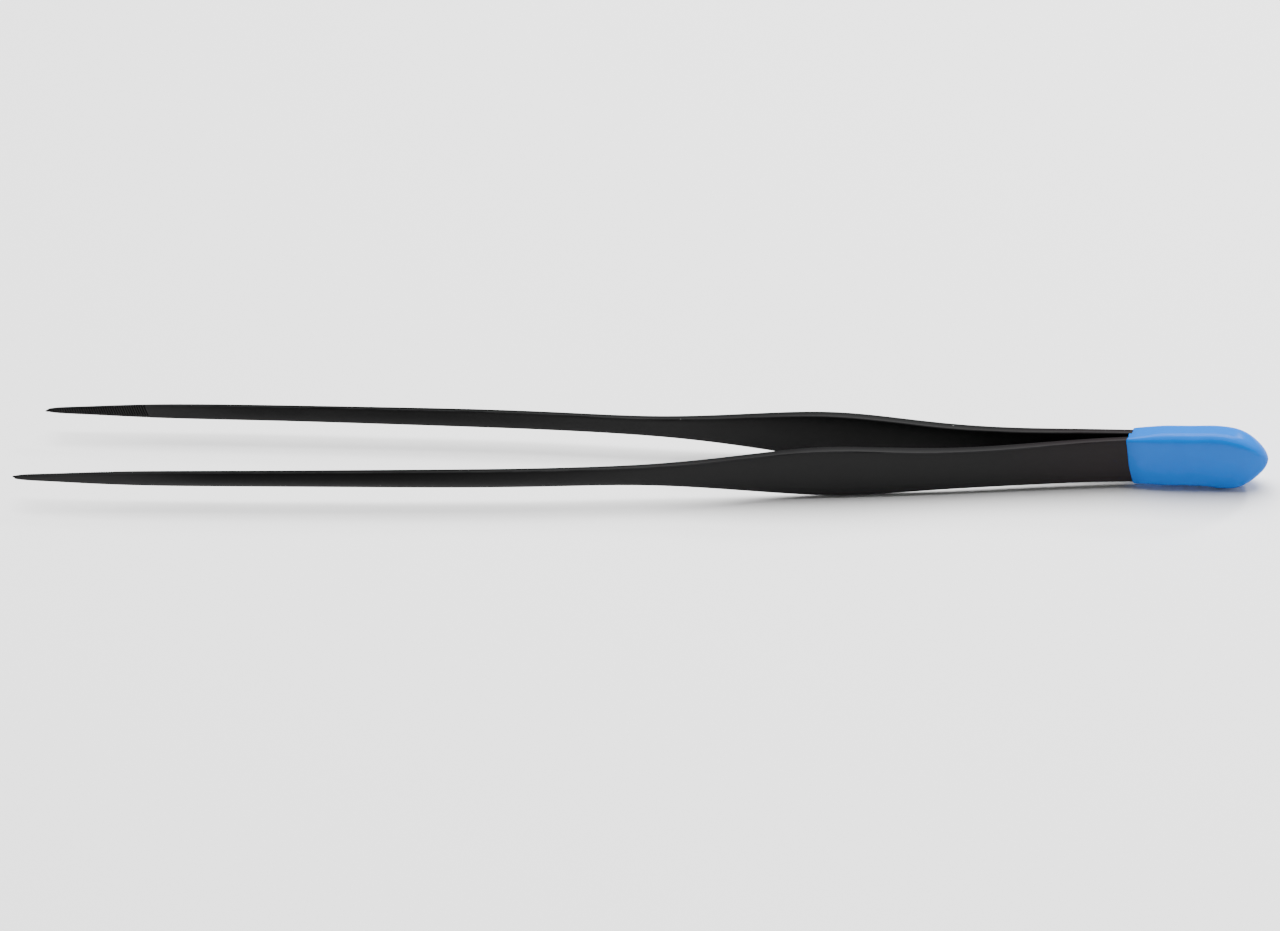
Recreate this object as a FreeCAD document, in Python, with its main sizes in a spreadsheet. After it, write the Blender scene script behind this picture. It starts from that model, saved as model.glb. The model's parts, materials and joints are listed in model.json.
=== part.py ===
import FreeCAD, Part
import os
import Sketcher

# Long straight reach tweezers. Two spring-steel arms lie side by side on edge,
# welded together at the tail, where a dip of soft vinyl caps them.
#
# Every sub-part is drawn along its length: x runs from the points (0) to the
# end of the cap, y across the pair from the plane where the arms meet, and z
# up the width of the strip from its middle. Each body's Placement then puts
# the middle of the length over the origin, with the points towards -X and the
# underside of the cap at z = 0.
#
# Each arm is one strip of steel that bends just in front of the weld. It is
# kept here as two sub-parts that meet at the middle of that bend: a tail,
# which stays with the cap, and an arm, which turns.

# ---------------------------------------------------------------- sizes, mm

SIZES = [
    ("overall_length", 270.0, "points to the end of the cap"),
    ("rest_height", 7.0, "middle of the strip above the surface it lies on"),
    ("weld_start", 256.0, "where the two arms come together, inside the cap"),
    ("strip_end", 268.0, "cut end of the steel, inside the cap"),
    ("strip_corner", 5.8, "rounding of the cut end"),
    ("tail_steel", 1.1, "thickness of each arm at the weld"),
    ("tail_half", 6.2, "half width of the strip at the weld"),
    ("flex_along", 222.0, "middle of the stretch of each arm that bends"),
    ("groove_first", 0.9, "first grip groove, from the points"),
    ("groove_pitch", 0.6, "spacing of the grip grooves"),
    ("groove_count", 41.0, "grooves on each jaw"),
    ("groove_depth", 0.28, "depth of a groove below the jaw face"),
    ("groove_half", 0.25, "half width of a groove at the jaw face"),
    ("jaw_gap", 9.86, "jaw face to the middle plane, half way along the jaw"),
    ("nugget_radius", 1.8, "radius of a weld nugget"),
    ("nugget_bite", 0.5, "how far a nugget reaches into each arm"),
    ("nugget_front", 258.8, "front nugget, from the points"),
    ("nugget_back", 264.2, "back nugget, from the points"),
    ("cap_mouth", 243.4, "where the dip begins"),
    ("cap_full", 253.0, "where the dip reaches its full height"),
    ("cap_shoulder", 259.5, "where the round end begins"),
    ("cap_round", 5.8, "pull of the round end on its long side"),
    ("cap_nose", 3.87, "pull of the round end on its short side"),
    ("cap_mouth_half", 6.3, "half height of the dip at its mouth"),
    ("cap_half", 7.0, "half height of the dip at its full size"),
    ("cap_depth", 4.8, "thickness of the dip across the pair"),
    ("cap_edge", 1.6, "rounding of the dip's long edges"),
    ("margin", 5.0, "how far a cutting sketch runs past the steel"),
]

# The side of an arm: a clamped cubic spline through these control stations.
# station, from the points, inner face to the middle plane, steel thickness
BEND = [
    ("points", 0.0, 9.90, 0.80),
    ("jaw", 20.0, 9.87, 0.85),
    ("jaw_root", 45.0, 9.70, 0.88),
    ("shank", 80.0, 8.95, 0.95),
    ("shank_back", 115.0, 8.18, 1.05),
    ("neck", 140.0, 6.53, 1.20),
    ("flare", 160.0, 5.63, 1.40),
    ("grip", 180.0, 4.33, 1.62),
    ("grip_back", 200.0, 3.23, 1.65),
    ("waist", 222.0, 1.44, 1.51),
    ("dip", 242.0, 0.35, 1.21),
]

# The face of an arm: control stations of its upper edge, mirrored below.
# station, from the points, half width
OUTLINE = [
    ("nose", 0.0, 0.16),
    ("point", 2.0, 0.80),
    ("jaw", 10.0, 1.03),
    ("jaw_root", 28.0, 2.14),
    ("shank", 60.0, 2.13),
    ("shank_middle", 100.0, 2.47),
    ("shank_back", 125.0, 2.35),
    ("neck", 145.0, 2.33),
    ("flare", 163.0, 4.21),
    ("grip", 182.0, 6.84),
    ("grip_back", 197.0, 5.62),
    ("waist", 212.0, 4.81),
    ("dip", 230.0, 5.35),
]

for station, along, gap, steel in BEND:
    SIZES.append((f"bend_{station}_along", along, f"bend, {station}: from the points"))
    SIZES.append((f"bend_{station}_gap", gap, f"bend, {station}: to the middle plane"))
    SIZES.append((f"bend_{station}_steel", steel, f"bend, {station}: steel thickness"))
for station, along, half in OUTLINE:
    SIZES.append((f"edge_{station}_along", along, f"outline, {station}: from the points"))
    SIZES.append((f"edge_{station}_half", half, f"outline, {station}: half width"))

VALUE = {alias: value for alias, value, note in SIZES}
LEFT = -1
RIGHT = 1

doc = FreeCAD.newDocument("reach_tweezers")
sheet = doc.addObject("Spreadsheet::Sheet", "sizes")
for row, (alias, value, note) in enumerate(SIZES, start=1):
    sheet.set(f"A{row}", note)
    sheet.set(f"B{row}", str(value))
    sheet.setAlias(f"B{row}", alias)
doc.recompute()


# ------------------------------------------------- places held by the sheet

def total(*aliases, sign=1):
    """A signed sum of named sizes: its value now and the formula behind it.

    An alias written with a minus sign in front is taken away.
    """
    value = 0.0
    formula = "0"
    for alias in aliases:
        less = alias.startswith("-")
        name = alias.lstrip("-")
        value += -VALUE[name] if less else VALUE[name]
        formula += f" {'-' if less else '+'} sizes.{name}"
    return sign * value, formula if sign > 0 else f"-({formula})"


NOTHING = (0.0, "")


def vector(place):
    return FreeCAD.Vector(place[0][0], place[1][0], 0)


def pin_axis(sketch, kind, curve, point, size):
    """Holds one coordinate of a sketch point at a named size."""
    value, formula = size
    if value == 0.0:
        axis = -2 if kind == "DistanceX" else -1
        sketch.addConstraint(Sketcher.Constraint("PointOnObject", curve, point, axis))
        return
    if value > 0:
        constraint = Sketcher.Constraint(kind, -1, 1, curve, point, value)
    else:
        constraint = Sketcher.Constraint(kind, curve, point, -1, 1, -value)
        formula = f"-({formula})"
    index = sketch.addConstraint(constraint)
    name = f"size_{index}"
    sketch.renameConstraint(index, name)
    sketch.setExpression(f"Constraints.{name}", formula)


def pin(sketch, curve, point, place):
    pin_axis(sketch, "DistanceX", curve, point, place[0])
    pin_axis(sketch, "DistanceY", curve, point, place[1])


def meet(sketch, curve, point, other, other_point):
    sketch.addConstraint(Sketcher.Constraint("Coincident", curve, point, other, other_point))


# -------------------------------------------------------- sketches and bodies

def new_body(label):
    body = doc.addObject("PartDesign::Body", label)
    body.Label = label
    body.setExpression("Placement.Base.x", "-sizes.overall_length / 2")
    body.setExpression("Placement.Base.z", "sizes.rest_height")
    return body


def new_sketch(body, name, role):
    """A sketch on one of the body's own origin planes."""
    plane = [item for item in body.Origin.OriginFeatures if item.Role == role][0]
    sketch = body.newObject("Sketcher::SketchObject", f"{body.Label}_{name}")
    sketch.AttachmentSupport = [(plane, "")]
    sketch.MapMode = "FlatFace"
    return sketch


def add_line(sketch, start, end):
    return sketch.addGeometry(Part.LineSegment(vector(start), vector(end)), False)


def add_spline(sketch, places):
    """A clamped cubic spline, with every control point held at named sizes."""
    spline = Part.BSplineCurve()
    spline.buildFromPoles([vector(place) for place in places], False, 3)
    curve = sketch.addGeometry(spline, False)
    sketch.exposeInternalGeometry(curve)
    for offset, place in enumerate(places, start=1):
        pin(sketch, curve + offset, 3, place)
    return curve


def add_loop(sketch, places):
    """A closed run of straight lines through named places."""
    ends = places[1:] + places[:1]
    curves = [add_line(sketch, start, end) for start, end in zip(places, ends)]
    for curve, following in zip(curves, curves[1:] + curves[:1]):
        meet(sketch, curve, 2, following, 1)
    for curve, place in zip(curves, places):
        pin(sketch, curve, 1, place)


def add_closing_run(sketch, first, first_places, second, second_places, between):
    """Straight lines from the end of one spline, through places, to the end of another."""
    route = [first_places[-1]] + between + [second_places[-1]]
    last = first
    for start, end in zip(route, route[1:]):
        line = add_line(sketch, start, end)
        meet(sketch, last, 2, line, 1)
        last = line
        if end in between:
            pin(sketch, line, 2, end)
    meet(sketch, last, 2, second, 2)


def pad(body, sketch, formula):
    feature = body.newObject("PartDesign::Pad", f"{sketch.Name}_pad")
    feature.Profile = sketch
    feature.SideType = "Symmetric"
    feature.setExpression("Length", formula)
    return feature


def pocket(body, sketch, formula=None):
    """A pocket to both sides of its sketch, through everything unless a depth is given."""
    feature = body.newObject("PartDesign::Pocket", f"{sketch.Name}_pocket")
    feature.Profile = sketch
    feature.SideType = "Symmetric"
    if formula:
        feature.setExpression("Length", formula)
    else:
        feature.Type = "ThroughAll"
    return feature


def fillet(body, chosen, formula):
    """Rounds the edges of the body so far that a test picks out."""
    doc.recompute()
    base = body.Tip
    names = [f"Edge{n}" for n, edge in enumerate(base.Shape.Edges, start=1) if chosen(edge)]
    feature = body.newObject("PartDesign::Fillet", f"{body.Label}_fillet")
    feature.Base = (base, names)
    feature.setExpression("Radius", formula)
    return feature


# --------------------------------------------------------------- steel strips

def bend_places(side, with_steel):
    """The control points of an arm's inner face, or of its outer face."""
    places = []
    for station, along, gap, steel in BEND:
        across = [f"bend_{station}_gap"]
        if with_steel:
            across.append(f"bend_{station}_steel")
        places.append((total(f"bend_{station}_along"), total(*across, sign=side)))
    across = total("tail_steel", sign=side) if with_steel else NOTHING
    places.append((total("weld_start"), across))
    return places


def edge_places(sign):
    """The control points of an arm's upper edge, or of its lower edge."""
    places = [(NOTHING, NOTHING)]
    for station, along, half in OUTLINE:
        places.append((total(f"edge_{station}_along"), total(f"edge_{station}_half", sign=sign)))
    places.append((total("weld_start"), total("tail_half", sign=sign)))
    return places


def strip(label, side):
    """One whole bent strip, from its point to its cut end, cut to its outline."""
    body = new_body(label)

    bend = new_sketch(body, "bend", "XY_Plane")
    inner_places = bend_places(side, False)
    outer_places = bend_places(side, True)
    inner = add_spline(bend, inner_places)
    outer = add_spline(bend, outer_places)
    cut_end = [
        (total("strip_end"), NOTHING),
        (total("strip_end"), total("tail_steel", sign=side)),
    ]
    add_closing_run(bend, inner, inner_places, outer, outer_places, cut_end)
    nose = add_line(bend, inner_places[0], outer_places[0])
    meet(bend, nose, 1, inner, 1)
    meet(bend, nose, 2, outer, 1)
    pad(body, bend, "2 * (sizes.cap_half + sizes.margin)")

    outline = new_sketch(body, "outline", "XZ_Plane")
    front = total("margin", sign=-1)
    back = total("overall_length", "margin")
    low = total("cap_half", "margin", sign=-1)
    high = total("cap_half", "margin")
    add_loop(outline, [(front, low), (back, low), (back, high), (front, high)])
    upper_places = edge_places(1)
    lower_places = edge_places(-1)
    upper = add_spline(outline, upper_places)
    lower = add_spline(outline, lower_places)
    cut_end = [
        (total("strip_end"), total("tail_half")),
        (total("strip_end"), total("tail_half", sign=-1)),
    ]
    add_closing_run(outline, upper, upper_places, lower, lower_places, cut_end)
    pocket(body, outline)
    return body


def split(body, far_end):
    """Cuts a strip across at the middle of its bend and drops the stretch up to far_end."""
    cut = new_sketch(body, "split", "XZ_Plane")
    here = total("flex_along")
    low = total("cap_half", "margin", sign=-1)
    high = total("cap_half", "margin")
    add_loop(cut, [(here, low), (far_end, low), (far_end, high), (here, high)])
    pocket(body, cut)


def arm(label, side):
    """The turning front of a strip, with sharp grooves across the inside of its jaw."""
    body = strip(label, side)
    split(body, total("overall_length", "margin"))
    wedge = new_sketch(body, "groove", "XY_Plane")
    # each wedge stands as far out of the jaw face as it goes in
    clear = total("jaw_gap", "-groove_depth", sign=side)
    add_loop(wedge, [
        (total("groove_first", "-groove_half", "-groove_half"), clear),
        (total("groove_first", "groove_half", "groove_half"), clear),
        (total("groove_first"), total("jaw_gap", "groove_depth", sign=side)),
    ])
    groove = pocket(body, wedge)
    pattern = body.newObject("PartDesign::LinearPattern", f"{label}_grooves")
    pattern.Originals = [groove]
    pattern.Direction = (wedge, ["H_Axis"])
    pattern.setExpression("Length", "(sizes.groove_count - 1) * sizes.groove_pitch")
    pattern.setExpression("Occurrences", "sizes.groove_count")
    body.Tip = pattern
    return body


def add_nuggets(sketch):
    """The round outlines of the two weld nuggets."""
    for alias in ("nugget_front", "nugget_back"):
        place = (total(alias), NOTHING)
        circle = Part.Circle(vector(place), FreeCAD.Vector(0, 0, 1), VALUE["nugget_radius"])
        curve = sketch.addGeometry(circle, False)
        pin(sketch, curve, 3, place)
        radius = Sketcher.Constraint("Radius", curve, VALUE["nugget_radius"])
        index = sketch.addConstraint(radius)
        sketch.renameConstraint(index, f"{alias}_radius")
        sketch.setExpression(f"Constraints.{alias}_radius", "sizes.nugget_radius")


def tail(label, side):
    """The fixed back of a strip, with its cut end rounded and a seat for each nugget."""
    body = strip(label, side)
    split(body, total("margin", sign=-1))
    seats = new_sketch(body, "seats", "XZ_Plane")
    add_nuggets(seats)
    pocket(body, seats, "2 * sizes.nugget_bite")
    end = VALUE["strip_end"]

    def at_corner(edge):
        places = [vertex.Point for vertex in edge.Vertexes]
        if len(places) != 2 or any(abs(place.x - end) > 0.01 for place in places):
            return False
        return abs(places[0].y - places[1].y) > VALUE["tail_steel"] / 2

    fillet(body, at_corner, "sizes.strip_corner")
    return body


def nuggets(label):
    """The two weld nuggets, half in each arm."""
    body = new_body(label)
    body.AllowCompound = True
    rounds = new_sketch(body, "rounds", "XZ_Plane")
    add_nuggets(rounds)
    pad(body, rounds, "2 * sizes.nugget_bite")
    return body


# ------------------------------------------------------------- the vinyl cap

def cap_places(sign):
    """Mouth, full height and shoulder of the dip, then its round end, on one edge."""
    height = total("cap_half", sign=sign)
    flat = [
        (total("cap_mouth"), total("cap_mouth_half", sign=sign)),
        (total("cap_full"), height),
        (total("cap_shoulder"), height),
    ]
    round_end = [
        flat[-1],
        (total("cap_shoulder", "cap_round"), height),
        (total("overall_length"), total("cap_nose", sign=sign)),
        (total("overall_length"), NOTHING),
    ]
    return flat, round_end


def cap_blank(label):
    """The dip as a solid block with round long edges, before the steel is taken out."""
    body = new_body(label)
    side = new_sketch(body, "side", "XZ_Plane")
    corners = []
    for sign in (1, -1):
        flat, round_end = cap_places(sign)
        nose = add_spline(side, round_end)
        rise = add_line(side, flat[0], flat[1])
        level = add_line(side, flat[1], flat[2])
        meet(side, rise, 2, level, 1)
        meet(side, level, 2, nose, 1)
        pin(side, rise, 1, flat[0])
        pin(side, rise, 2, flat[1])
        corners.append((rise, flat[0]))
    (top, top_place), (bottom, bottom_place) = corners
    mouth = add_line(side, top_place, bottom_place)
    meet(side, mouth, 1, top, 1)
    meet(side, mouth, 2, bottom, 1)
    pad(body, side, "sizes.cap_depth")
    depth = VALUE["cap_depth"] / 2
    mouth_at = VALUE["cap_mouth"]

    def along_the_dip(edge):
        places = [vertex.Point for vertex in edge.Vertexes]
        outside = all(abs(abs(place.y) - depth) < 0.01 for place in places)
        return outside and not all(abs(place.x - mouth_at) < 0.01 for place in places)

    fillet(body, along_the_dip, "sizes.cap_edge")
    return body


# ------------------------------------------------------------------- assembly

left_arm = arm("left_arm", LEFT)
right_arm = arm("right_arm", RIGHT)
left_tail = tail("left_tail", LEFT)
right_tail = tail("right_tail", RIGHT)
weld_nuggets = nuggets("weld_nuggets")
blank = cap_blank("cap_blank")

steel = doc.addObject("Part::MultiFuse", "steel_in_cap")
steel.Shapes = [left_tail, right_tail, weld_nuggets]
dipped_cap = doc.addObject("Part::Cut", "dipped_cap")
dipped_cap.Label = "dipped_cap"
dipped_cap.Base = blank
dipped_cap.Tool = steel
doc.recompute()

SUB_PARTS = [left_arm, right_arm, left_tail, right_tail, weld_nuggets, dipped_cap]

for item in doc.Objects:
    if "Invalid" in item.State or "Error" in item.State:
        raise RuntimeError(f"{item.Label} did not build: {item.State}")
for item in SUB_PARTS:
    if item.Shape.isNull() or not item.Shape.isValid() or item.Shape.Volume <= 0:
        raise RuntimeError(f"{item.Label} has no sound shape")

os.makedirs("parts", exist_ok=True)
for item in SUB_PARTS:
    item.Shape.exportStep(f"parts/{item.Label}.step")
    box = item.Shape.BoundBox
    print(f"{item.Label}: {len(item.Shape.Solids)} solid, {item.Shape.Volume:.1f} mm3, "
          f"x {box.XMin:.2f} to {box.XMax:.2f}, y {box.YMin:.2f} to {box.YMax:.2f}, "
          f"z {box.ZMin:.2f} to {box.ZMax:.2f}")
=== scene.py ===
"""Long straight reach tweezers: two black sprung steel arms, welded at the tail under a blue vinyl dip."""

import json
import math

import bmesh
import bpy
import numpy as np
from mathutils import Matrix, Vector


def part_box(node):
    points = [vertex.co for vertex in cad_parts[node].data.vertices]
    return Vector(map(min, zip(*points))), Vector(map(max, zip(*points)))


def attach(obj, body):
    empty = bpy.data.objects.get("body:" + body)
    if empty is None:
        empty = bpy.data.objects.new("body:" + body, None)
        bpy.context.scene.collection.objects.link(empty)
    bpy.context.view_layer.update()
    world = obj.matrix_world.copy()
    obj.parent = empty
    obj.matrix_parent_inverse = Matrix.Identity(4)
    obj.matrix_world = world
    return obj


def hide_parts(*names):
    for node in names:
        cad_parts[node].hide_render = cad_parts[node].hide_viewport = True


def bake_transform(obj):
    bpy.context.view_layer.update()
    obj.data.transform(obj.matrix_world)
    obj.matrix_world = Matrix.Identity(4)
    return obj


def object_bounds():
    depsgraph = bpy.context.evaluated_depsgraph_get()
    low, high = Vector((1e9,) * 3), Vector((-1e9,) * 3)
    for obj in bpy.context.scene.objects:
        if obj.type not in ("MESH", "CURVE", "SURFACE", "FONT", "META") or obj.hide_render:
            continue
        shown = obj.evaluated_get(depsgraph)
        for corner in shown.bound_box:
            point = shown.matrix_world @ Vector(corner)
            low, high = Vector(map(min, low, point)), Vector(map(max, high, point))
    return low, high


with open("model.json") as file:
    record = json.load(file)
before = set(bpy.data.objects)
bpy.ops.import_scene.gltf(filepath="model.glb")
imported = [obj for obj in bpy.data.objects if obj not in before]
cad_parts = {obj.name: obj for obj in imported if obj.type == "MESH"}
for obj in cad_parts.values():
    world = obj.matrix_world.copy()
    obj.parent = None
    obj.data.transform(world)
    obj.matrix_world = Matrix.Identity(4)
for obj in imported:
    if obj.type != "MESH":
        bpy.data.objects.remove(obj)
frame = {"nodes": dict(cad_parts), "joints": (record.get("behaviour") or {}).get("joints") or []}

bl_info = {
    "name": "Reach Tweezers",
    "version": (1, 0, 0),
    "blender": (4, 5, 0),
    "location": "View3D > Sidebar > Tweezers",
    "description": "Builds long straight tweezers with grooved jaws and a dipped vinyl cap",
    "category": "Add Mesh",
}

MM = 0.001
CAD_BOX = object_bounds()
TIP_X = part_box("left_arm")[0][0]
TAIL_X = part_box("dipped_cap")[1][0]
MIDDLE_Z = (CAD_BOX[0][2] + CAD_BOX[1][2]) / 2
LENGTH = (TAIL_X - TIP_X) / MM
LEFT = -1
RIGHT = 1

# The steel, in millimetres. Distances along an arm are counted from its point.
WELD_START = 256.0
STRIP_END = 268.0
STRIP_CORNER = 5.8
TAIL_STEEL = 1.1
TAIL_HALF = 6.2

# Control stations of the bend: along, inner face to the middle plane, steel thickness.
BEND = [
    (0.0, 9.90, 0.80),
    (20.0, 9.87, 0.85),
    (45.0, 9.70, 0.88),
    (80.0, 8.95, 0.95),
    (115.0, 8.18, 1.05),
    (140.0, 6.53, 1.20),
    (160.0, 5.63, 1.40),
    (180.0, 4.33, 1.62),
    (200.0, 3.23, 1.65),
    (222.0, 1.44, 1.51),
    (242.0, 0.35, 1.21),
    (WELD_START, 0.0, TAIL_STEEL),
]

# Control stations of the outline: along, half width.
OUTLINE = [
    (0.0, 0.0),
    (0.0, 0.16),
    (2.0, 0.80),
    (10.0, 1.03),
    (28.0, 2.14),
    (60.0, 2.13),
    (100.0, 2.47),
    (125.0, 2.35),
    (145.0, 2.33),
    (163.0, 4.21),
    (182.0, 6.84),
    (197.0, 5.62),
    (212.0, 4.81),
    (230.0, 5.35),
    (WELD_START, TAIL_HALF),
]

# The strips are ground by hand, so their middle line wanders: along, rise.
WANDER = [
    (0.0, -0.15),
    (30.0, -0.02),
    (60.0, 0.12),
    (120.0, 0.05),
    (165.0, 0.04),
    (190.0, -0.25),
    (207.0, -0.60),
    (222.0, -0.35),
    (236.0, 0.36),
    (250.0, 0.34),
    (LENGTH, 0.34),
]

# Where the first sections of an arm stand, then how many follow up to the weld and past it.
POINT_SECTIONS = (0.02, 0.08, 0.18, 0.32, 0.48)
FREE_SECTIONS = 236
WELDED_SECTIONS = 20

LEAST_GAP = 0.005       # the inner faces never quite reach the middle plane
NOSE_LENGTH = 0.7       # the stretch behind a point that is ground thinner
NOSE_THIN = 0.45        # share of the steel that is left at the point
NOSE_INSIDE = 0.08      # share of what is ground off that comes off the inner side
GROOVE_HALF = 0.35      # half width of a jaw groove, as a share of the pitch
MOST_ROUND = 0.45       # an edge's rounding is at most this share of the steel
CROWN_LIFT = 0.8        # share of a crown that stands proud; the rest comes off the edges
SHANK_BEGINS = (12.0, 50.0)     # where the outer face swells into the shank's round back
SHANK_ENDS = (110.0, 165.0)     # and where it flattens again into the grip

# How near an edge a place on the steel is: 0 on a flat, 1 on an edge, and these on the jaws.
# Tooth ridges get the lighter edge colour: worn coating and painted highlight.
TOOTH_MARK = 0.5
# Groove bottoms get the painted shade colour.
GROOVE_MARK = -1.0

# The dip's edge, as waves round the section: how far it wanders, and where, in degrees.
DIP_SLANT = (0.62, 50)
DIP_BOW = (0.20, 120)
DIP_RIPPLE = 0.06

# The dip's form, in millimetres; distances are counted from the points.
SWELL_BEFORE = 0.5      # the dip begins to swell this far before its mean edge
SWELL_LENGTH = 8.0      # and is at its full size this far behind it
END_SQUARENESS = 2.4    # the larger, the longer the round end stays tall
END_BLUNTNESS = 0.62    # the smaller, the blunter its last stretch
END_THINS = 264.0       # where the end begins to round off across the pair
DRIP_BEGINS = (256.6, 260.2)
DRIP_ENDS = (262.5, 267.8)
BUMP_AT = 259.5         # a slight fullness of the upper side
BUMP_LENGTH = 2.0
BUMP_HEIGHT = 0.10
SAG = 0.05              # the underside's slow unevenness
CLEARANCE = 0.02        # between the vinyl's inside and the steel

# Faces that meet at more than this angle keep a sharp edge between them.
SHARP = math.radians(33.0)

# Lamps, in metres and watts: name, place, aim, width, height, power.
LAMPS = [
    ("overhead", (0.05, 0.32, 1.15), (0, 0, 0), 1.3, 0.75, 50.0),
    ("softbox", (0.50, 0.44, 0.50), (0.13, 0, 0), 0.10, 0.10, 3.0),
    ("end_fill", (1.00, 0.05, 0.40), (0.13, 0, 0), 0.5, 0.5, 2.2),
]
STUDIO_GLOW = 0.18
FLOOR_HALF = 2.5        # half the floor's side, in metres
FLOOR_GAP = 0.0001      # how far the floor lies under the dip, in metres
SENSOR = 36.0           # width of the camera's sensor, in millimetres


# ----------------------------------------------------------------- settings

def size_mm(name, default, description):
    return bpy.props.FloatProperty(name=name, description=description, default=default, unit="NONE")


def colour(name, default, description):
    return bpy.props.FloatVectorProperty(
        name=name, description=description, default=default, subtype="COLOR", size=3, min=0, max=1)


class SteelSettings(bpy.types.PropertyGroup):
    edge_round: size_mm("Edge rounding (mm)", 0.33, "Rounding of the strip's long edges")
    crown: size_mm("Grip crown (mm)", 0.04, "How much the grip's outer face swells in its middle")
    shank_crown: size_mm("Shank crown (mm)", 0.50, "How much the shank's outer face swells in its middle")
    land: size_mm("Jaw land (mm)", 0.02, "How far the tops of the jaw's teeth lie below its plain face")
    groove_first: size_mm("First groove (mm)", 0.9, "First jaw groove, from the point")
    groove_pitch: size_mm("Groove pitch (mm)", 0.6, "Spacing of the jaw grooves")
    groove_depth: size_mm("Groove depth (mm)", 0.32, "Depth of a jaw groove")
    groove_count: bpy.props.IntProperty(
        name="Grooves", description="Grooves on each jaw", default=41, min=1)
    coat: colour("Coating", (0.0072, 0.0072, 0.0074), "Matt black coating")
    # Painted reflection: a paler purple-brown tint on the coating near the dip, standing for the blue cap
    # reflected in the steel.
    dip_reflection_tint: colour("Warm coating", (0.0110, 0.0078, 0.0088), "Slightly brown coating near the dip")
    # Painted shade: the upper side of the shanks' outer faces is darkened in the colour to stand for the
    # shade that falls there.
    painted_shank_shade: colour("Rubbed coating", (0.0020, 0.0020, 0.0021), "Smoother, darker coating on the shanks")
    # Worn edges, partly painted highlight: lighter colour on the rounded edges and the jaw's tooth ridges,
    # where wear thins the coating and light catches them.
    worn_and_highlit_edge: colour("Worn edge", (0.022, 0.022, 0.0224), "Coating thinned along the edges")
    # Painted shade: near-black colour in the bottoms of the jaw grooves, standing for the shade in these
    # recesses.
    painted_groove_shade: colour("Groove dirt", (0.0010, 0.0010, 0.0010), "Bottoms of the jaw grooves")
    dust: colour("Dust", (0.12, 0.12, 0.115), "Small pale specks on the coating")
    roughness: bpy.props.FloatProperty(
        name="Roughness", description="Roughness of the coating", default=0.42, min=0, max=1)


class CapSettings(bpy.types.PropertyGroup):
    mouth: size_mm("Mouth (mm)", 243.5, "Mean place of the dip's edge, from the points")
    thin: size_mm("Skin at the mouth (mm)", 0.36, "Vinyl thickness just behind the edge")
    top: size_mm("Top (mm)", 7.37, "Height of the dip above the steel's middle")
    bottom: size_mm("Bottom (mm)", 6.30, "Depth of the dip below the steel's middle")
    depth: size_mm("Depth (mm)", 4.8, "Thickness of the dip across the pair")
    edge: size_mm("Edge rounding (mm)", 1.7, "Rounding of the dip's long edges")
    round_from: size_mm("Round end (mm)", 260.0, "Where the round end begins, from the points")
    drip: size_mm("Drip (mm)", 0.68, "Height of the hardened drip at the lower back")
    vinyl: colour("Vinyl", (0.0005, 0.122, 0.510), "Blue vinyl")
    vinyl_thin: colour("Thin vinyl", (0.0005, 0.080, 0.330), "Vinyl where the steel darkens it")
    roughness: bpy.props.FloatProperty(
        name="Roughness", description="Roughness of the vinyl", default=0.22, min=0, max=1)


class WeldSettings(bpy.types.PropertyGroup):
    metal: colour("Weld metal", (0.45, 0.44, 0.43), "Bare metal of a nugget")
    heat: colour("Heat tint", (0.20, 0.13, 0.10), "Ring of heat tint round a nugget")


class StageSettings(bpy.types.PropertyGroup):
    floor: colour("Floor", (0.90, 0.90, 0.90), "Pale floor")
    azimuth: bpy.props.FloatProperty(
        name="Azimuth", description="Camera's turn round the tweezers",
        default=math.radians(26.8), subtype="ANGLE")
    elevation: bpy.props.FloatProperty(
        name="Elevation", description="Camera's height above the horizon",
        default=math.radians(42.4), subtype="ANGLE")
    roll: bpy.props.FloatProperty(
        name="Roll", description="Camera's turn about its own line of sight",
        default=math.radians(18.0), subtype="ANGLE")
    lens: bpy.props.FloatProperty(
        name="Lens (mm)", description="Focal length on a 36 mm wide sensor", default=100.0, min=1)
    distance: size_mm("Camera distance (mm)", 730.9, "From the middle of the tweezers")
    shift_right: size_mm("Aim right (mm)", 6.06, "How far the aim lies right of the middle")
    shift_up: size_mm("Aim up (mm)", -3.15, "How far the aim lies above the middle")


# -------------------------------------------------------------------- curves

def clamped_spline(places):
    """Points along a clamped cubic spline with these control places."""
    count = 2400
    places = np.array(places, float)
    inner = np.linspace(0.0, 1.0, len(places) - 2)
    knots = np.concatenate([[0.0] * 3, inner, [1.0] * 3])
    points = []
    for u in np.linspace(0.0, 1.0 - 1e-9, count):
        span = int(np.searchsorted(knots, u, side="right")) - 1
        near = [places[i].copy() for i in range(span - 3, span + 1)]
        for level in range(1, 4):
            for i in range(3, level - 1, -1):
                low = knots[i + span - 3]
                share = (u - low) / (knots[i + 1 + span - level] - low)
                near[i] = (1 - share) * near[i - 1] + share * near[i]
        points.append(near[3])
    return np.array(points)


INNER_LINE = clamped_spline([(along, gap) for along, gap, steel in BEND])
OUTER_LINE = clamped_spline([(along, gap + steel) for along, gap, steel in BEND])
EDGE_LINE = clamped_spline(OUTLINE)
MIDDLE_LINE = clamped_spline(WANDER)


def read_line(line, along):
    """The height of a spline at a place along the tweezers."""
    return float(np.interp(along, line[:, 0], line[:, 1]))


def between(first, second, share):
    return first + (second - first) * share


def smooth_step(low, high, value):
    """0 up to low, 1 from high, with smooth ends."""
    share = min(max((value - low) / (high - low), 0.0), 1.0)
    return share * share * (3 - 2 * share)


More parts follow.
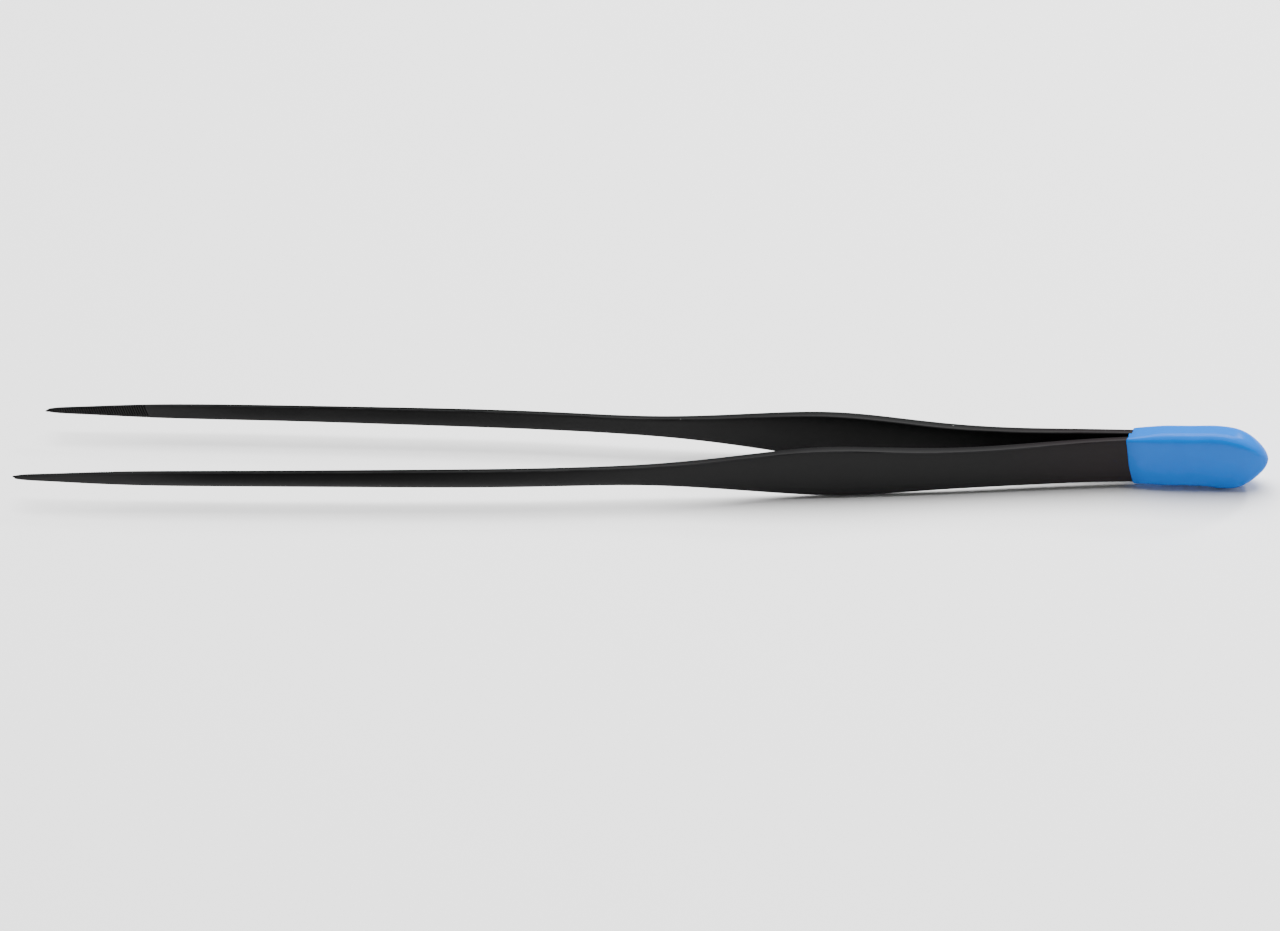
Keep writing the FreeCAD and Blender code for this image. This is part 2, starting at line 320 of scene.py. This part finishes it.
def quarter_round(start, end, value):
    """1 before start, then a quarter ellipse that falls to 0 at end."""
    share = min(max((value - start) / (end - start), 0.0), 1.0)
    return math.sqrt(max(0.0, 1 - share * share))


def strip_half_width(along):
    """Half width of the steel, with its rounded cut end."""
    corner = STRIP_END - STRIP_CORNER
    if along <= corner:
        return read_line(EDGE_LINE, along)
    return TAIL_HALF - STRIP_CORNER * (1 - quarter_round(corner, STRIP_END, along))


# -------------------------------------------------------------------- meshes

def rounded_outline(face_steps, edge_steps, corner_steps):
    """Points round any rounded rectangle: each a share of its flats in y and z, and a normal."""
    points = []
    for quarter in range(4):
        side_y = 1 if quarter in (0, 3) else -1
        side_z = 1 if quarter in (0, 1) else -1
        for step in range(corner_steps):
            angle = (quarter + step / (corner_steps - 1)) * math.pi / 2
            points.append((side_y, side_z, math.cos(angle), math.sin(angle)))
        on_edge = quarter in (0, 2)
        steps = edge_steps if on_edge else face_steps
        for step in range(1, steps):
            slide = 1 - 2 * step / steps
            if on_edge:
                points.append((side_y * slide, side_z, 0.0, side_z))
            else:
                points.append((side_y, side_z * slide, side_y, 0.0))
    return points


def on_rectangle(point, half_y, half_z, radius):
    """Where a point of a rounded outline lies on a rectangle of this size."""
    share_y, share_z, normal_y, normal_z = point
    radius = min(radius, half_y * 0.98, half_z * 0.98)
    return (share_y * (half_y - radius) + normal_y * radius,
            share_z * (half_z - radius) + normal_z * radius)


def place_mm(along, across, up):
    """A place in the frame, from millimetres along, across and up from the strip's middle."""
    return Vector((TIP_X + along * MM, across * MM, MIDDLE_Z + up * MM))


def add_loft(mesh, rings, start_point, end_point, value_name):
    """A closed skin through rings of (place, value) pairs, drawn to a point at each end."""
    layer = mesh.verts.layers.float.get(value_name) or mesh.verts.layers.float.new(value_name)

    def add_vertex(place, value):
        vertex = mesh.verts.new(place)
        vertex[layer] = value
        return vertex

    made = [[add_vertex(place, value) for place, value in ring] for ring in rings]
    count = len(made[0])
    for ring, following in zip(made, made[1:]):
        for i in range(count):
            j = (i + 1) % count
            mesh.faces.new((ring[i], ring[j], following[j], following[i]))
    for place, ring in ((start_point, made[0]), (end_point, made[-1])):
        pole = add_vertex(place, 0.0)
        for i in range(count):
            mesh.faces.new((ring[i], ring[(i + 1) % count], pole))


def finish_mesh(name, mesh):
    """The object of a finished mesh, smooth except across its sharp edges."""
    bmesh.ops.recalc_face_normals(mesh, faces=mesh.faces)
    data = bpy.data.meshes.new(name)
    mesh.to_mesh(data)
    mesh.free()
    data.shade_smooth()
    data.set_sharp_from_angle(angle=SHARP)
    piece = bpy.data.objects.new(name, data)
    bpy.context.collection.objects.link(piece)
    return piece


def ring_middle(ring, along):
    """The middle of a ring, moved to another place along the tweezers."""
    middle = sum((place for place, value in ring), Vector()) / len(ring)
    middle.x = TIP_X + along * MM
    return middle


ARM_OUTLINE = rounded_outline(face_steps=6, edge_steps=2, corner_steps=5)
CAP_OUTLINE = rounded_outline(face_steps=12, edge_steps=4, corner_steps=9)


def arm_stations(steel):
    """Where the sections of an arm stand, with how far its jaw is cut back at each."""
    stations = [(along, steel.land) for along in POINT_SECTIONS]
    half = steel.groove_pitch * GROOVE_HALF
    for number in range(steel.groove_count):
        root = steel.groove_first + number * steel.groove_pitch
        stations += [(root - half, steel.land), (root, steel.groove_depth), (root + half, steel.land)]
    plain_from = stations[-1][0] + 0.5
    free = np.linspace(plain_from, WELD_START, FREE_SECTIONS)
    turn = np.linspace(0.08, math.pi / 2, WELDED_SECTIONS)
    welded = WELD_START + (STRIP_END - 0.05 - WELD_START) * np.sin(turn)
    return stations + [(float(along), 0.0) for along in (*free, *welded)]


def arm_section(along, depth, side, steel):
    """One section of an arm, its jaw cut back by depth; each point knows how near an edge it is."""
    gap = max(read_line(INNER_LINE, along), LEAST_GAP)
    thick = read_line(OUTER_LINE, along) - gap
    nose = between(1.0, NOSE_THIN, quarter_round(0.0, NOSE_LENGTH, along))
    inner = gap + thick * (1 - nose) * NOSE_INSIDE
    thick *= nose
    half = strip_half_width(along)
    rise = read_line(MIDDLE_LINE, along)
    on_shank = smooth_step(*SHANK_BEGINS, along) * (1 - smooth_step(*SHANK_ENDS, along))
    crown = between(steel.crown, steel.shank_crown, on_shank)
    radius = min(steel.edge_round, thick * MOST_ROUND)
    ring = []
    for point in ARM_OUTLINE:
        outwards, upwards = point[2:]
        y, z = on_rectangle(point, thick / 2, half, radius)
        from_inner = thick / 2 + y
        if outwards > 0:
            from_inner += outwards * crown * (CROWN_LIFT - (z / half) ** 2)
        from_inner = max(from_inner, depth)
        value = 2 * abs(outwards * upwards)
        if depth > 0 and outwards < 0.5:
            value = GROOVE_MARK if depth > steel.land else TOOTH_MARK
        ring.append((place_mm(along, side * (inner + from_inner), rise + z), value))
    return ring


def build_arm(name, side, steel):
    """One arm: sections from its point to its cut end, with a groove at each jaw station."""
    rings = [arm_section(along, depth, side, steel) for along, depth in arm_stations(steel)]
    mesh = bmesh.new()
    add_loft(mesh, rings, ring_middle(rings[0], 0.0), ring_middle(rings[-1], STRIP_END), "edge")
    return finish_mesh(name, mesh)


def dip_edge(point, cap):
    """Where the dip begins at a point round the section; it wanders as a hand dip does."""
    angle = math.atan2(4 * point[1] + point[3], 4 * point[0] + point[2])
    slant = DIP_SLANT[0] * math.cos(angle - math.radians(DIP_SLANT[1]))
    bow = DIP_BOW[0] * math.cos(2 * angle - math.radians(DIP_BOW[1]))
    ripple = DIP_RIPPLE * math.sin(5 * angle + 0.4)
    return cap.mouth + slant + bow + ripple


def steel_in_cap(point, along, skin, cap_edge):
    """A point on a skin of even thickness round both strips, as (across, up)."""
    half_y = read_line(OUTER_LINE, min(along, WELD_START)) + skin
    half_z = strip_half_width(along) + skin
    y, z = on_rectangle(point, half_y, half_z, cap_edge + skin)
    return y, z + read_line(MIDDLE_LINE, along)


def outside_of_cap(point, along, cap, cap_edge):
    """A point on the outside of the dip, as (across, up)."""
    swell = smooth_step(cap.mouth - SWELL_BEFORE, cap.mouth + SWELL_LENGTH, along)
    rise = read_line(MIDDLE_LINE, cap.mouth)
    mouth_y = read_line(OUTER_LINE, cap.mouth) + cap.thin
    mouth_z = strip_half_width(cap.mouth) + cap.thin
    into_end = min(max((along - cap.round_from) / (LENGTH - cap.round_from), 0.0), 1.0)
    taper = (1 - into_end ** END_SQUARENESS) ** END_BLUNTNESS
    drip = cap.drip * smooth_step(*DRIP_BEGINS, along) * (1 - smooth_step(*DRIP_ENDS, along))
    fuller = BUMP_HEIGHT * math.exp(-((along - BUMP_AT) / BUMP_LENGTH) ** 2)
    sag = SAG * math.sin(0.9 * along)
    top = (between(rise + mouth_z, cap.top, swell) + fuller) * taper
    bottom = (between(rise - mouth_z, -cap.bottom, swell) + sag) * taper - drip
    half_y = between(mouth_y, cap.depth / 2, swell) * quarter_round(END_THINS, LENGTH, along)
    radius = between(cap_edge + cap.thin, cap.edge, swell)
    y, z = on_rectangle(point, half_y, (top - bottom) / 2, radius)
    return y, z + (top + bottom) / 2


def build_cap(name, cap, steel):
    """The vinyl: outside skin, rounded lip and inside skin as one, and what fills the gap."""
    def ring(along_of, section_of, thin_of):
        places = []
        for point in CAP_OUTLINE:
            along = along_of(dip_edge(point, cap))
            y, z = section_of(point, along)
            places.append((place_mm(along, y, z), thin_of(along)))
        return places

    def thin_near_edge(along):
        return 1 - smooth_step(cap.mouth, cap.mouth + 2.2, along)

    rings = []
    outside_steps = 54
    for step in range(outside_steps, 0, -1):
        share = math.sin(step / (outside_steps + 0.7) * math.pi / 2)
        rings.append(ring(
            lambda edge: between(edge + cap.thin, LENGTH, share),
            lambda point, along: outside_of_cap(point, along, cap, steel.edge_round),
            thin_near_edge))
    lip_steps = 5
    for step in range(lip_steps + 1):
        turn = step / lip_steps * math.pi / 2
        skin = between(CLEARANCE, cap.thin, math.cos(turn))
        rings.append(ring(
            lambda edge: edge + cap.thin * (1 - math.sin(turn)),
            lambda point, along: steel_in_cap(point, along, skin, steel.edge_round),
            thin_near_edge))
    inside_steps = 24
    inside_end = STRIP_END + 0.1
    for step in range(1, inside_steps):
        share = math.sin(step / (inside_steps - 0.4) * math.pi / 2)
        rings.append(ring(
            lambda edge: between(edge, STRIP_END, share),
            lambda point, along: steel_in_cap(point, along, CLEARANCE, steel.edge_round),
            lambda along: 0.0))
    mesh = bmesh.new()
    add_loft(mesh, rings, place_mm(LENGTH, 0, 0), ring_middle(rings[-1], inside_end), "thin")

    filling_sections = 12
    filling_round = 0.05
    filling = []
    for along in np.linspace(cap.mouth + 0.1, WELD_START - 1.5, filling_sections):
        half_y = read_line(INNER_LINE, along) - 0.5 * CLEARANCE
        half_z = strip_half_width(along) - CLEARANCE
        rise = read_line(MIDDLE_LINE, along)
        shape = [on_rectangle(point, half_y, half_z, filling_round) for point in ARM_OUTLINE]
        filling.append([(place_mm(along, y, z + rise), thin_near_edge(along)) for y, z in shape])
    hollow = ring_middle(filling[0], cap.mouth + 0.35)
    add_loft(mesh, filling, hollow, ring_middle(filling[-1], WELD_START - 1.0), "thin")
    return finish_mesh(name, mesh)


# ----------------------------------------------------------------- materials

class Signal:
    """A shader socket that carries arithmetic: each expression adds its Math nodes."""

    def __init__(self, finish, socket):
        self.finish = finish
        self.socket = socket

    def _sum(self, operation, first, second):
        return self.finish.node("ShaderNodeMath", {"operation": operation}, {0: first, 1: second})

    def __add__(self, other):
        return self._sum("ADD", self, other)

    __radd__ = __add__

    def __sub__(self, other):
        return self._sum("SUBTRACT", self, other)

    def __rsub__(self, other):
        return self._sum("SUBTRACT", other, self)

    def __mul__(self, other):
        return self._sum("MULTIPLY", self, other)

    __rmul__ = __mul__

    def __gt__(self, other):
        return self._sum("GREATER_THAN", self, other)

    def __lt__(self, other):
        return self._sum("LESS_THAN", self, other)


class Finish:
    """One material: a principled shader and the nodes that feed it."""

    def __init__(self, name):
        self.material = bpy.data.materials.new(name)
        self.material.use_nodes = True
        self.nodes = self.material.node_tree.nodes
        self.links = self.material.node_tree.links
        self.shader = self.nodes["Principled BSDF"]

    def connect(self, value, socket):
        """Links an expression to a socket, or sets the socket to a plain value."""
        if isinstance(value, Signal):
            self.links.new(value.socket, socket)
        elif hasattr(value, "__len__") and len(value) == 3 and socket.type == "RGBA":
            socket.default_value = (*value, 1.0)
        else:
            socket.default_value = value

    def node(self, kind, settings=None, sockets=None, output=0):
        """Any node: its settings first, then the values or links of its sockets."""
        made = self.nodes.new(kind)
        for key, value in (settings or {}).items():
            setattr(made, key, value)
        for key, value in (sockets or {}).items():
            self.connect(value, made.inputs[key])
        return Signal(self, made.outputs[output])

    def mix(self, factor, first, second):
        """A colour between two colours."""
        settings = {"data_type": "RGBA", "blend_type": "MIX", "clamp_factor": True}
        return self.node("ShaderNodeMix", settings, {0: factor, 6: first, 7: second}, 2)

    def set(self, **values):
        """The shader's own sockets, by name."""
        for key, value in values.items():
            self.connect(value, self.shader.inputs[key.replace("_", " ")])

    def place(self):
        """The object's own coordinates."""
        return self.node("ShaderNodeTexCoord", output="Object")

    def stretched(self, scale):
        """The object's own coordinates, stretched."""
        return self.node("ShaderNodeVectorMath", {"operation": "MULTIPLY"}, {0: self.place(), 1: scale})

    def noise(self, per_metre, detail, vector=None):
        sockets = {"Vector": vector or self.place(), "Scale": per_metre, "Detail": detail}
        return self.node("ShaderNodeTexNoise", {}, sockets)

    def ramp(self, signal, low, high):
        """The signal spread from 0 at low to 1 at high, with smooth ends."""
        settings = {"interpolation_type": "SMOOTHSTEP"}
        return self.node("ShaderNodeMapRange", settings, {0: signal, 1: low, 2: high, 3: 0.0, 4: 1.0})

    def attribute(self, name):
        return self.node("ShaderNodeAttribute", {"attribute_name": name}, output="Fac")

    def bump(self, height, strength, distance):
        sockets = {"Height": height, "Strength": strength, "Distance": distance}
        return self.node("ShaderNodeBump", {}, sockets)


def black_coating(steel):
    """Matt black coating: fine grain, painted shade on the upper shanks, a painted reflection of the dip
    near it, thinned edges that also carry a painted highlight, painted shade in the jaw grooves, a few
    specks of dust.
    """
    finish = Finish("black_coating")
    grain = finish.noise(5200.0, 4.0)
    cloud = finish.noise(95.0, 3.0)
    brushed = finish.noise(1.0, 2.0, finish.stretched((60.0, 900.0, 900.0)))
    along = finish.node("ShaderNodeSeparateXYZ", {}, {0: finish.place()})

    def from_points(begins, ends):
        return finish.ramp(along, TIP_X + begins * MM, TIP_X + ends * MM)

    near_dip = from_points(212, 240)
    on_shank = from_points(22, 55)
    past_shank = from_points(85, 150)
    # Painted reflection of the dip: the coating near it is tinted paler and purple-brown.
    shade = finish.mix(near_dip * (0.5 + 0.6 * cloud), steel.coat, steel.dip_reflection_tint)
    up = finish.node("ShaderNodeSeparateXYZ", {}, {0: finish.place()}, "Z")
    upper = finish.ramp(up, MIDDLE_Z - 2.2 * MM, MIDDLE_Z + 1.2 * MM)
    # Painted shade: darker colour, with less coat, on the upper half of each shank's outer face.
    painted_shank_shade = on_shank * (1 - past_shank) * upper * (0.75 + 0.4 * cloud)
    shade = finish.mix(painted_shank_shade, shade, steel.painted_shank_shade)
    edge_and_groove_marks = finish.attribute("edge")
    edge = finish.ramp(edge_and_groove_marks, 0.0, 1.0)
    # Painted shade in the bottoms of the jaw grooves, with less coat there.
    painted_groove_shade = finish.ramp(edge_and_groove_marks, 0.0, 0.25 * GROOVE_MARK)
    # Edges and tooth ridges are lightened in patches: worn coating and painted highlight.
    wear_and_edge_highlight = edge * finish.ramp(cloud + 0.35 * grain, 0.40, 0.80) * 0.7
    shade = finish.mix(wear_and_edge_highlight, shade, steel.worn_and_highlit_edge)
    shade = finish.mix(painted_groove_shade, shade, steel.painted_groove_shade)
    specks_per_metre = 330.0
    speck_size = 0.030 + 0.03 * grain
    empty_cells = 0.72
    cells = {"Vector": finish.place(), "Scale": specks_per_metre}
    from_speck = finish.node("ShaderNodeTexVoronoi", {}, cells)
    cell_colour = finish.node("ShaderNodeTexVoronoi", {}, cells, "Color")
    rare = finish.node("ShaderNodeSeparateColor", {}, {0: cell_colour})
    dusty = (from_speck < speck_size) * (rare > empty_cells)
    shade = finish.mix(dusty * 0.8, shade, steel.dust)
    fine = 0.7 * grain + 0.3 * brushed
    finish.set(
        Base_Color=shade,
        Roughness=steel.roughness - 0.06 + 0.12 * cloud + 0.05 * brushed - 0.08 * edge,
        Coat_Weight=0.070 * (1 - painted_shank_shade) * (1 - painted_groove_shade) + 0.05 * edge,
        Normal=finish.bump(fine, 0.22, 0.00005),
    )
    finish.set(Specular_IOR_Level=0.038, Coat_Roughness=0.42)
    return finish.material


def blue_vinyl(cap):
    """Soft glossy vinyl: a dipped skin with slow ripples, darker where it thins at its edge."""
    finish = Finish("blue_vinyl")
    ripple = finish.noise(230.0, 2.0)
    peel = finish.noise(1500.0, 2.0)
    thin = finish.attribute("thin")
    shade = finish.mix(thin * (0.25 + 0.5 * ripple), cap.vinyl, cap.vinyl_thin)
    pale = tuple(min(1.0, part * 1.10) for part in cap.vinyl)
    shade = finish.mix(finish.ramp(ripple, 0.42, 0.72) * 0.35, shade, pale)
    finish.set(
        Base_Color=shade,
        Roughness=cap.roughness + 0.10 * peel - 0.05 * ripple,
        Normal=finish.bump(0.8 * ripple + 0.2 * peel, 0.20, 0.0004),
    )
    finish.set(Subsurface_Weight=0.08, Subsurface_Radius=(0.3, 0.7, 1.0), Subsurface_Scale=0.0008)
    finish.set(Specular_IOR_Level=0.08)
    return finish.material


def weld_metal(weld):
    """Bare weld metal with a ring of heat tint."""
    finish = Finish("weld_metal")
    speck = finish.noise(2600.0, 4.0)
    cloud = finish.noise(420.0, 2.0)
    finish.set(
        Base_Color=finish.mix(finish.ramp(cloud, 0.4, 0.65), weld.metal, weld.heat),
        Roughness=0.38 + 0.3 * speck,
        Normal=finish.bump(speck, 0.4, 0.00005),
    )
    finish.set(Metallic=1.0)
    return finish.material


def pale_floor(stage):
    """A matt pale floor, very slightly uneven."""
    finish = Finish("pale_floor")
    cloud = finish.noise(3.0, 2.0)
    shade = finish.mix(cloud, stage.floor, tuple(part * 0.985 for part in stage.floor))
    finish.set(Base_Color=shade, Roughness=0.9, Specular_IOR_Level=0.0)
    return finish.material


# ----------------------------------------------------------------- operators

def use_material(piece, material):
    piece.data.materials.clear()
    piece.data.materials.append(material)


def hinge_along(hand):
    """How far from the points the middle of an arm's bend lies."""
    joint = [item for item in frame["joints"] if item["name"] == f"{hand}_flex"][0]
    return (joint["pos_m"][0] - TIP_X) / MM


class TWEEZERS_OT_arms(bpy.types.Operator):
    """Builds both steel arms, each one unbroken strip from its point to its cut end, drawn in towards the
    other before the weld
    """
    bl_idname = "tweezers.arms"
    bl_label = "Steel arms"

    def execute(self, context):
        steel = context.scene.tweezers_steel
        coating = black_coating(steel)
        mouth = context.scene.tweezers_cap.mouth
        clamped = place_mm(mouth, 0, 0)
        for hand, side in (("left", LEFT), ("right", RIGHT)):
            arm = build_arm(f"{hand}_arm_strip", side, steel)
            use_material(arm, coating)
            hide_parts(f"{hand}_arm", f"{hand}_tail")
            free = place_mm(2 * hinge_along(hand) - mouth, 0, 0)
            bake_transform(arm)
        return {"FINISHED"}


class TWEEZERS_OT_welds(bpy.types.Operator):
    """Gives the weld nuggets inside the tail their bare metal"""
    bl_idname = "tweezers.welds"
    bl_label = "Weld nuggets"

    def execute(self, context):
        use_material(frame["nodes"]["weld_nuggets"], weld_metal(context.scene.tweezers_weld))
        return {"FINISHED"}


class TWEEZERS_OT_cap(bpy.types.Operator):
    """Builds the vinyl dip over the tail, with its wavy edge and hardened drip"""
    bl_idname = "tweezers.cap"
    bl_label = "Dipped cap"

    def execute(self, context):
        cap = context.scene.tweezers_cap
        skin = build_cap("vinyl_dip", cap, context.scene.tweezers_steel)
        use_material(skin, blue_vinyl(cap))
        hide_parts("dipped_cap")
        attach(skin, "handle")
        return {"FINISHED"}


def add_light(name, place, aim, width, height, power):
    """A soft box that faces the place it aims at."""
    lamp = bpy.data.lights.new(name, "AREA")
    lamp.shape = "RECTANGLE"
    lamp.size = width
    lamp.size_y = height
    lamp.energy = power
    light = bpy.data.objects.new(name, lamp)
    light.location = place
    light.rotation_euler = (Vector(aim) - Vector(place)).to_track_quat("-Z", "Y").to_euler()
    bpy.context.collection.objects.link(light)


def add_floor(material):
    """A square floor just under the dip's lowest place."""
    half = FLOOR_HALF
    mesh = bpy.data.meshes.new("floor")
    corners = [(-half, -half, 0), (half, -half, 0), (half, half, 0), (-half, half, 0)]
    mesh.from_pydata(corners, [], [(0, 1, 2, 3)])
    floor = bpy.data.objects.new("floor", mesh)
    floor.location.z = CAD_BOX[0][2] - FLOOR_GAP
    bpy.context.collection.objects.link(floor)
    use_material(floor, material)


def add_camera(stage):
    """The camera, from its turn, height, roll and the place it aims at."""
    turn, height, roll = stage.azimuth, stage.elevation, stage.roll
    level = Vector((math.cos(turn), math.sin(turn), 0))
    rise = Vector((-math.sin(turn) * math.sin(height), math.cos(turn) * math.sin(height), math.cos(height)))
    sight = rise.cross(level)
    right = math.cos(roll) * level - math.sin(roll) * rise
    up = math.sin(roll) * level + math.cos(roll) * rise
    lens = bpy.data.cameras.new("camera")
    lens.lens = stage.lens
    lens.sensor_width = SENSOR
    lens.clip_start = 0.01
    lens.clip_end = 20.0
    camera = bpy.data.objects.new("camera", lens)
    middle = Vector(((TIP_X + TAIL_X) / 2, 0, MIDDLE_Z))
    place = middle + (stage.shift_right * right + stage.shift_up * up - stage.distance * sight) * MM
    turn_matrix = Matrix((right, up, -sight)).transposed()
    camera.matrix_world = Matrix.Translation(place) @ turn_matrix.to_4x4()
    bpy.context.collection.objects.link(camera)
    bpy.context.scene.camera = camera


class TWEEZERS_OT_stage(bpy.types.Operator):
    """Sets the pale floor, the soft lights and the camera"""
    bl_idname = "tweezers.stage"
    bl_label = "Stage"

    def execute(self, context):
        stage = context.scene.tweezers_stage
        add_floor(pale_floor(stage))
        for lamp in LAMPS:
            add_light(*lamp)
        world = bpy.data.worlds.new("studio")
        world.use_nodes = True
        background = world.node_tree.nodes["Background"]
        background.inputs["Color"].default_value = (1.0, 1.0, 1.0, 1.0)
        background.inputs["Strength"].default_value = STUDIO_GLOW
        context.scene.world = world
        add_camera(stage)
        return {"FINISHED"}


class TWEEZERS_PT_panel(bpy.types.Panel):
    """The tweezers' pieces and their sizes, in the sidebar"""
    bl_idname = "TWEEZERS_PT_panel"
    bl_label = "Reach tweezers"
    bl_space_type = "VIEW_3D"
    bl_region_type = "UI"
    bl_category = "Tweezers"

    def draw(self, context):
        for operator, settings in STEPS:
            box = self.layout.box()
            box.operator(operator.bl_idname)
            group = getattr(context.scene, settings)
            for name in group.__annotations__:
                box.prop(group, name)


STEPS = (
    (TWEEZERS_OT_arms, "tweezers_steel"),
    (TWEEZERS_OT_welds, "tweezers_weld"),
    (TWEEZERS_OT_cap, "tweezers_cap"),
    (TWEEZERS_OT_stage, "tweezers_stage"),
)

GROUPS = {
    "tweezers_steel": SteelSettings,
    "tweezers_weld": WeldSettings,
    "tweezers_cap": CapSettings,
    "tweezers_stage": StageSettings,
}


def register():
    for settings, group in GROUPS.items():
        bpy.utils.register_class(group)
        setattr(bpy.types.Scene, settings, bpy.props.PointerProperty(type=group))
    for operator, settings in STEPS:
        bpy.utils.register_class(operator)
    bpy.utils.register_class(TWEEZERS_PT_panel)


def unregister():
    bpy.utils.unregister_class(TWEEZERS_PT_panel)
    for operator, settings in reversed(STEPS):
        bpy.utils.unregister_class(operator)
    for settings, group in GROUPS.items():
        delattr(bpy.types.Scene, settings)
        bpy.utils.unregister_class(group)


def main():
    """Builds the tweezers and their stage."""
    register()
    bpy.ops.tweezers.arms()
    bpy.ops.tweezers.welds()
    bpy.ops.tweezers.cap()
    bpy.ops.tweezers.stage()


if __name__ == "__main__":
    main()
